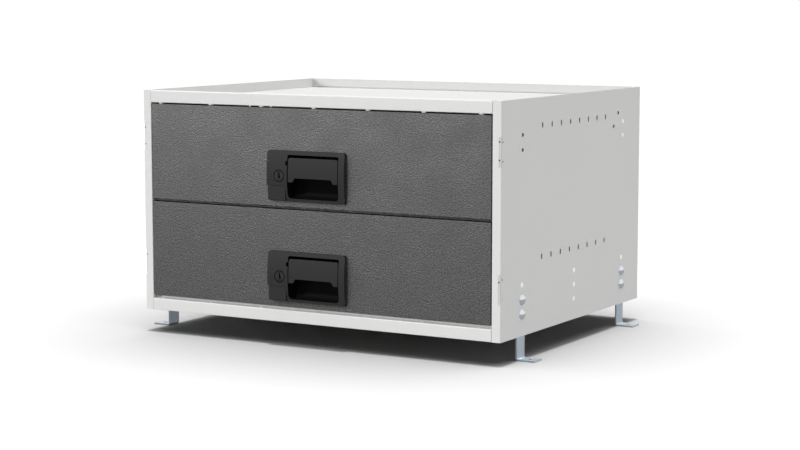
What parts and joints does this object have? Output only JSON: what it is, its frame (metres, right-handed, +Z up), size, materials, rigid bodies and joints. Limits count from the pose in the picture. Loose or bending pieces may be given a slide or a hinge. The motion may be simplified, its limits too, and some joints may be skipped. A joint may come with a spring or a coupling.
{
  "type": "van drawer unit",
  "caption": "Floor-standing steel drawer unit for a van: folded casing on bolted feet, open top tray, full-extension drawers with moulded fronts and lockable paddle latches.",
  "frame": {"origin": "on the floor, under the middle of the unit's bounding box; the feet's undersides are z = 0", "axes": "+X to the right as seen from the front, the widest way; +Y from the drawer fronts to the back; +Z up"},
  "size_m": [0.8188, 0.599, 0.4565],
  "materials": {
    "white_paint": "smooth semi-gloss powder coat on folded sheet steel",
    "zinc": "bright zinc plate",
    "bright_steel": "cold-rolled, lightly oiled",
    "grey_front": "mid-grey moulding with a pebbled grain",
    "black_plastic": "near-black, finely etched",
    "lock_black": "smooth black cap"
  },
  "bodies": {
    "casing": {"side_panel_left": "white_paint", "side_panel_right": "white_paint", "top_tray": "white_paint", "base_panel": "white_paint", "back_panel": "white_paint", "middle_rail": "white_paint", "foot_front_left": "zinc", "foot_rear_left": "zinc", "foot_front_right": "zinc", "foot_rear_right": "zinc", "bolt_front_left_lower": "zinc", "bolt_front_left_upper": "zinc", "bolt_rear_left_lower": "zinc", "bolt_rear_left_upper": "zinc", "bolt_front_right_lower": "zinc", "bolt_front_right_upper": "zinc", "bolt_rear_right_lower": "zinc", "bolt_rear_right_upper": "zinc", "runner_lower_left": "white_paint", "runner_lower_right": "white_paint", "runner_upper_left": "white_paint", "runner_upper_right": "white_paint", "slide_outer_lower_left": "bright_steel", "slide_outer_lower_right": "bright_steel", "slide_outer_upper_left": "bright_steel", "slide_outer_upper_right": "bright_steel", "strike_plate_lower": "zinc", "strike_plate_upper": "zinc"},
    "drawer_lower": {"drawer_box_lower": "white_paint", "drawer_floor_lower": "white_paint", "drawer_front_lower": "grey_front", "slide_inner_lower_left": "bright_steel", "slide_inner_lower_right": "bright_steel", "latch_housing_lower": "black_plastic", "latch_cover_lower": "black_plastic", "latch_pin_lower": "bright_steel"},
    "drawer_upper": {"drawer_box_upper": "white_paint", "drawer_floor_upper": "white_paint", "drawer_front_upper": "grey_front", "slide_inner_upper_left": "bright_steel", "slide_inner_upper_right": "bright_steel", "latch_housing_upper": "black_plastic", "latch_cover_upper": "black_plastic", "latch_pin_upper": "bright_steel"},
    "slides_lower": {"slide_middle_lower_left": "bright_steel", "slide_middle_lower_right": "bright_steel"},
    "slides_upper": {"slide_middle_upper_left": "bright_steel", "slide_middle_upper_right": "bright_steel"},
    "paddle_lower": {"latch_paddle_lower": "black_plastic"},
    "paddle_upper": {"latch_paddle_upper": "black_plastic"},
    "tongue_lower": {"latch_tongue_lower": "zinc"},
    "tongue_upper": {"latch_tongue_upper": "zinc"},
    "lock_lower": {"lock_cylinder_lower": "lock_black", "lock_cam_lower": "zinc"},
    "lock_upper": {"lock_cylinder_upper": "lock_black", "lock_cam_upper": "zinc"}
  },
  "joints": [
    {"name": "drawer_lower_slide", "type": "slide", "parent": "casing", "child": "drawer_lower", "axis": [0, -1, 0], "range_m": [0, 0.5]},
    {"name": "slides_lower_slide", "type": "slide", "parent": "casing", "child": "slides_lower", "axis": [0, -1, 0], "range_m": [0, 0.25]},
    {"name": "drawer_upper_slide", "type": "slide", "parent": "casing", "child": "drawer_upper", "axis": [0, -1, 0], "range_m": [0, 0.5]},
    {"name": "slides_upper_slide", "type": "slide", "parent": "casing", "child": "slides_upper", "axis": [0, -1, 0], "range_m": [0, 0.25]},
    {"name": "paddle_lower_hinge", "type": "hinge", "parent": "drawer_lower", "child": "paddle_lower", "pos_m": [0.0029, -0.29055, 0.1535], "axis": [-1, 0, 0], "range_deg": [0, 30]},
    {"name": "paddle_upper_hinge", "type": "hinge", "parent": "drawer_upper", "child": "paddle_upper", "pos_m": [0.0029, -0.29055, 0.3366], "axis": [-1, 0, 0], "range_deg": [0, 30]},
    {"name": "tongue_lower_slide", "type": "slide", "parent": "drawer_lower", "child": "tongue_lower", "axis": [0, 0, 1], "range_m": [0, 0.006], "stiffness_N_per_m": 2500, "springref_m": -0.001},
    {"name": "tongue_upper_slide", "type": "slide", "parent": "drawer_upper", "child": "tongue_upper", "axis": [0, 0, 1], "range_m": [0, 0.006], "stiffness_N_per_m": 2500, "springref_m": -0.001},
    {"name": "lock_lower_turn", "type": "hinge", "parent": "drawer_lower", "child": "lock_lower", "pos_m": [-0.0683, -0.28, 0.12705], "axis": [0, -1, 0], "range_deg": [0, 90]},
    {"name": "lock_upper_turn", "type": "hinge", "parent": "drawer_upper", "child": "lock_upper", "pos_m": [-0.0683, -0.28, 0.31015], "axis": [0, -1, 0], "range_deg": [0, 90]}
  ],
  "couplings": [
    {"joint": "slides_lower_slide", "follows": "drawer_lower_slide", "ratio": 0.5},
    {"joint": "slides_upper_slide", "follows": "drawer_upper_slide", "ratio": 0.5},
    {"joint": "paddle_lower_hinge", "follows": "tongue_lower_slide", "rad_per_m": 87.2},
    {"joint": "paddle_upper_hinge", "follows": "tongue_upper_slide", "rad_per_m": 87.2}
  ]
}
